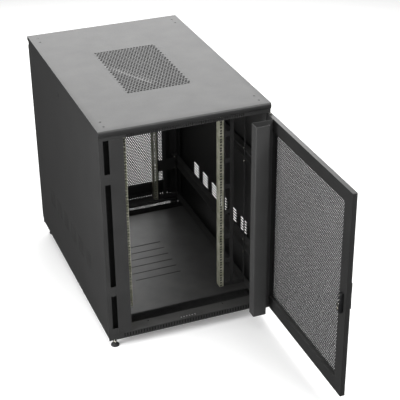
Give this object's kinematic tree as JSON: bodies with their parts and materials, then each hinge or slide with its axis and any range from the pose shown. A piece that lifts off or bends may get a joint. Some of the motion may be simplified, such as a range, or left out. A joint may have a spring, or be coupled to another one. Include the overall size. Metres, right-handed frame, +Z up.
{
  "type": "server rack cabinet",
  "caption": "Black steel network rack cabinet on levelling feet with punched equipment rails, louvred side panels and perforated doors, the front one open.",
  "frame": {"origin": "centre of the floor pan's underside, level with the underside of the base frame", "axes": "+X to the right seen from the front, -Y out of the front opening, +Z up"},
  "size_m": [0.8212, 2.019, 1.135],
  "materials": {
    "frame_coat": "fine-textured black powder coat on folded sheet steel",
    "panel_coat": "fine-textured black powder coat on panels and doors",
    "mesh_coat": "black powder coat on perforated sheet",
    "zinc_rail": "yellow-green passivated zinc plate, satin",
    "bright_steel": "bright nickel-plated steel",
    "black_plastic": "fine-grained black moulded plastic",
    "foot_rubber": "black moulded foot on a steel stud"
  },
  "bodies": {
    "cabinet": {"base_front_rail": "frame_coat", "base_rear_rail": "frame_coat", "base_left_sill": "frame_coat", "base_right_sill": "frame_coat", "bottom_panel": "frame_coat", "front_left_post": "frame_coat", "front_right_post": "frame_coat", "rear_left_post": "frame_coat", "rear_right_post": "frame_coat", "front_left_cover": "frame_coat", "left_slot_backing": "frame_coat", "top_front_rail": "frame_coat", "top_rear_rail": "frame_coat", "top_left_rail": "frame_coat", "top_right_rail": "frame_coat", "left_lower_beam": "frame_coat", "right_lower_beam": "frame_coat", "left_upper_beam": "frame_coat", "right_upper_beam": "frame_coat", "front_right_bracket": "frame_coat", "front_left_bracket": "frame_coat", "rear_right_bracket": "frame_coat", "rear_left_bracket": "frame_coat", "front_upper_hinge_bracket": "frame_coat", "front_lower_hinge_bracket": "frame_coat", "rear_upper_hinge_bracket": "frame_coat", "rear_lower_hinge_bracket": "frame_coat", "front_right_rail": "zinc_rail", "front_left_rail": "zinc_rail", "rear_right_rail": "zinc_rail", "rear_left_rail": "zinc_rail", "front_upper_hinge_pin": "bright_steel", "front_lower_hinge_pin": "bright_steel", "rear_upper_hinge_pin": "bright_steel", "rear_lower_hinge_pin": "bright_steel", "roof_panel": "panel_coat", "roof_grille": "panel_coat"},
    "front_door": {"front_door_hinge_stile": "panel_coat", "front_door_lock_stile": "panel_coat", "front_door_bottom_rail": "panel_coat", "front_door_top_rail": "panel_coat", "front_door_mesh": "mesh_coat", "hinge_guard": "panel_coat", "handle_base": "black_plastic", "lock_case": "black_plastic"},
    "handle_hub": {"handle_hub": "black_plastic", "latch_cam": "bright_steel"},
    "handle_lever": {"handle_lever": "black_plastic"},
    "key_cylinder": {"key_cylinder": "bright_steel"},
    "rear_door": {"rear_door_frame": "panel_coat", "rear_door_mesh": "mesh_coat"},
    "rear_door_lock": {"rear_door_lock": "black_plastic"},
    "left_side_panel": {"left_side_panel": "panel_coat"},
    "left_panel_lock": {"left_panel_lock": "black_plastic"},
    "right_side_panel": {"right_side_panel": "panel_coat"},
    "right_panel_lock": {"right_panel_lock": "black_plastic"},
    "front_left_foot": {"front_left_foot": "foot_rubber"},
    "front_right_foot": {"front_right_foot": "foot_rubber"},
    "rear_left_foot": {"rear_left_foot": "foot_rubber"},
    "rear_right_foot": {"rear_right_foot": "foot_rubber"}
  },
  "joints": [
    {"name": "front_door_swing", "type": "hinge", "parent": "cabinet", "child": "front_door", "pos_m": [0.393, -0.6105, 0.5], "axis": [0, 0, 1], "range_deg": [-90, 40]},
    {"name": "handle_turn", "type": "hinge", "parent": "front_door", "child": "handle_hub", "pos_m": [0.404, -1.3695, 0.478], "axis": [-1, 0, 0], "range_deg": [0, 90]},
    {"name": "handle_lift", "type": "hinge", "parent": "handle_hub", "child": "handle_lever", "pos_m": [0.4119, -1.3695, 0.474], "axis": [0, 1, 0], "range_deg": [0, 40]},
    {"name": "key_turn", "type": "hinge", "parent": "handle_lever", "child": "key_cylinder", "pos_m": [0.413, -1.3695, 0.57], "axis": [1, 0, 0], "range_deg": [0, 90]},
    {"name": "rear_door_swing", "type": "hinge", "parent": "cabinet", "child": "rear_door", "pos_m": [-0.3925, 0.6085, 0.5], "axis": [0, 0, 1], "range_deg": [0, 120]},
    {"name": "rear_lock_turn", "type": "hinge", "parent": "rear_door", "child": "rear_door_lock", "pos_m": [0.325, 0.6075, 0.478], "axis": [0, 1, 0], "range_deg": [0, 90]},
    {"name": "left_panel_tilt", "type": "hinge", "parent": "cabinet", "child": "left_side_panel", "pos_m": [-0.4, 0.0025, 0.012], "axis": [0, -1, 0], "range_deg": [0, 12]},
    {"name": "left_lock_turn", "type": "hinge", "parent": "left_side_panel", "child": "left_panel_lock", "pos_m": [-0.395, 0.0495, 0.987], "axis": [1, 0, 0], "range_deg": [0, 90]},
    {"name": "right_panel_tilt", "type": "hinge", "parent": "cabinet", "child": "right_side_panel", "pos_m": [0.4, 0.0025, 0.012], "axis": [0, 1, 0], "range_deg": [0, 12]},
    {"name": "right_lock_turn", "type": "hinge", "parent": "right_side_panel", "child": "right_panel_lock", "pos_m": [0.395, 0.0495, 0.987], "axis": [1, 0, 0], "range_deg": [0, 90]},
    {"name": "front_left_foot_level", "type": "slide", "parent": "cabinet", "child": "front_left_foot", "axis": [0, 0, 1], "range_m": [-0.006, 0.018]},
    {"name": "front_right_foot_level", "type": "slide", "parent": "cabinet", "child": "front_right_foot", "axis": [0, 0, 1], "range_m": [-0.006, 0.018]},
    {"name": "rear_left_foot_level", "type": "slide", "parent": "cabinet", "child": "rear_left_foot", "axis": [0, 0, 1], "range_m": [-0.006, 0.018]},
    {"name": "rear_right_foot_level", "type": "slide", "parent": "cabinet", "child": "rear_right_foot", "axis": [0, 0, 1], "range_m": [-0.006, 0.018]}
  ]
}
